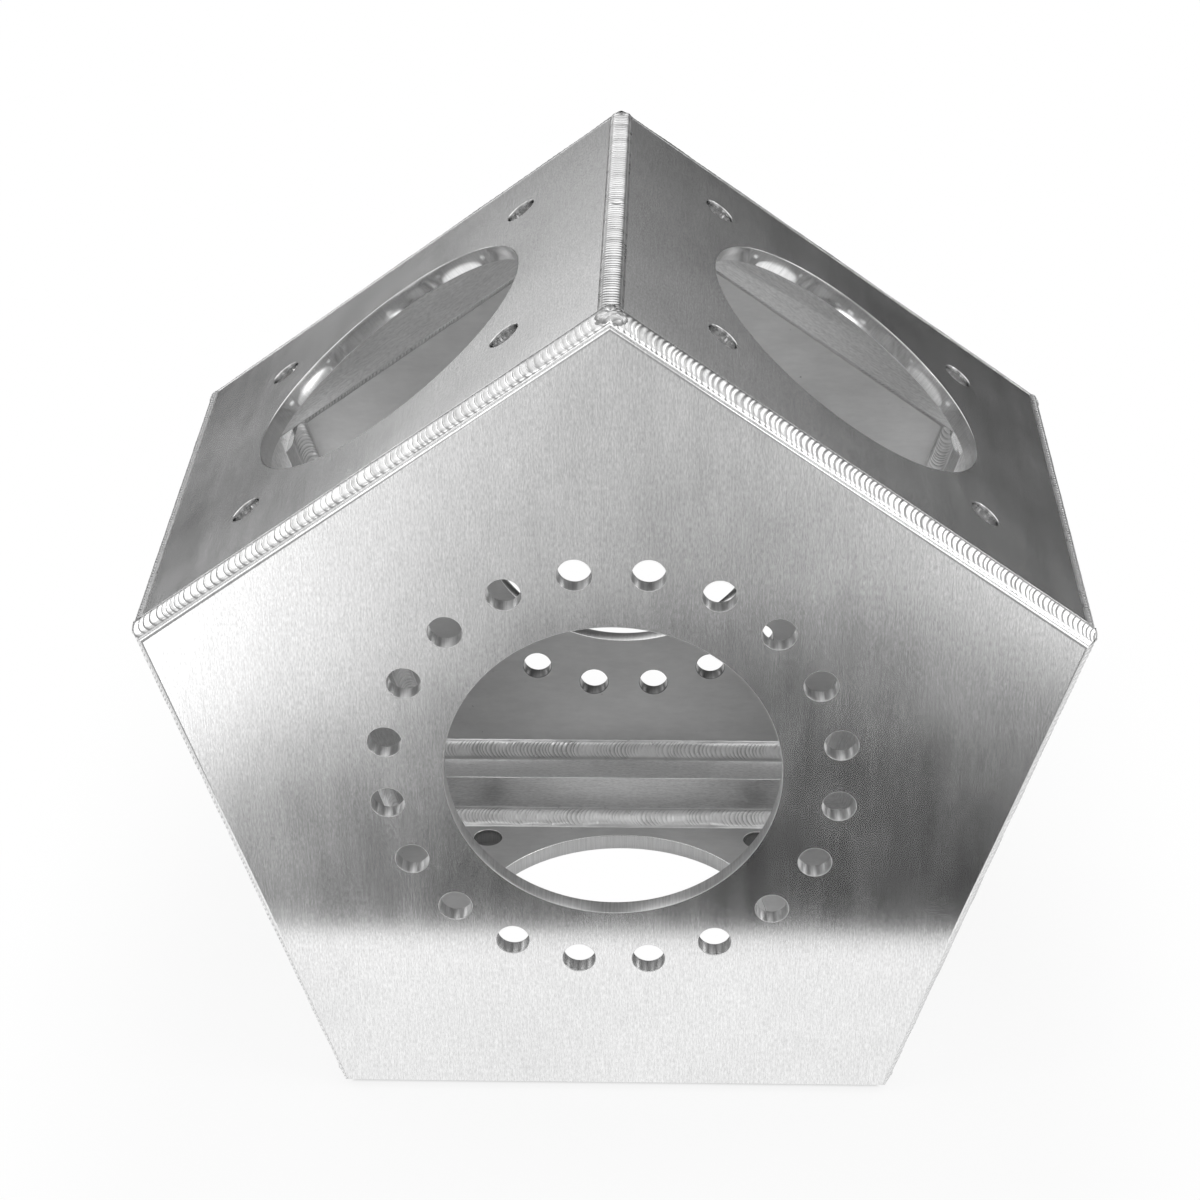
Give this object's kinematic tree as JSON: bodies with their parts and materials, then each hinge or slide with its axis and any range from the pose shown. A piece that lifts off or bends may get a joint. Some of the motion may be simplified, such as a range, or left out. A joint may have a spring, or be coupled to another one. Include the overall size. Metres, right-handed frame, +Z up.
{
  "type": "truss junction block",
  "caption": "Welded pentagonal aluminium plate box that joins truss ends, with a large access hole and bolt holes in every face.",
  "frame": {"origin": "middle of the bottom wall's outer face, on which the block stands", "axes": "+Z up towards the apex, Y along the pentagonal prism with the front cover facing -Y, +X to the right seen from the front"},
  "size_m": [0.7, 0.423, 0.6656],
  "materials": {
    "plate": "mill finish with a fine brushed grain",
    "weld": "bright rippled weld bead, as welded",
    "bar": "mill finish, extruded bar"
  },
  "bodies": {
    "root": {"wall_bottom": "plate", "wall_lower_right": "plate", "wall_upper_right": "plate", "wall_upper_left": "plate", "wall_lower_left": "plate", "front_cover": "plate", "rear_cover": "plate", "corner_bead_bottom_right": "weld", "corner_bead_right": "weld", "corner_bead_apex": "weld", "corner_bead_left": "weld", "corner_bead_bottom_left": "weld", "front_bead_bottom": "weld", "front_bar_bottom": "bar", "front_cover_bead_bottom": "weld", "front_wall_bead_bottom": "weld", "front_bead_lower_right": "weld", "front_bar_lower_right": "bar", "front_cover_bead_lower_right": "weld", "front_wall_bead_lower_right": "weld", "front_bead_upper_right": "weld", "front_bar_upper_right": "bar", "front_cover_bead_upper_right": "weld", "front_wall_bead_upper_right": "weld", "front_bead_upper_left": "weld", "front_bar_upper_left": "bar", "front_cover_bead_upper_left": "weld", "front_wall_bead_upper_left": "weld", "front_bead_lower_left": "weld", "front_bar_lower_left": "bar", "front_cover_bead_lower_left": "weld", "front_wall_bead_lower_left": "weld", "rear_bead_bottom": "weld", "rear_bar_bottom": "bar", "rear_cover_bead_bottom": "weld", "rear_wall_bead_bottom": "weld", "rear_bead_lower_right": "weld", "rear_bar_lower_right": "bar", "rear_cover_bead_lower_right": "weld", "rear_wall_bead_lower_right": "weld", "rear_bead_upper_right": "weld", "rear_bar_upper_right": "bar", "rear_cover_bead_upper_right": "weld", "rear_wall_bead_upper_right": "weld", "rear_bead_upper_left": "weld", "rear_bar_upper_left": "bar", "rear_cover_bead_upper_left": "weld", "rear_wall_bead_upper_left": "weld", "rear_bead_lower_left": "weld", "rear_bar_lower_left": "bar", "rear_cover_bead_lower_left": "weld", "rear_wall_bead_lower_left": "weld", "front_joint_beads": "weld", "rear_joint_beads": "weld"}
  },
  "joints": []
}
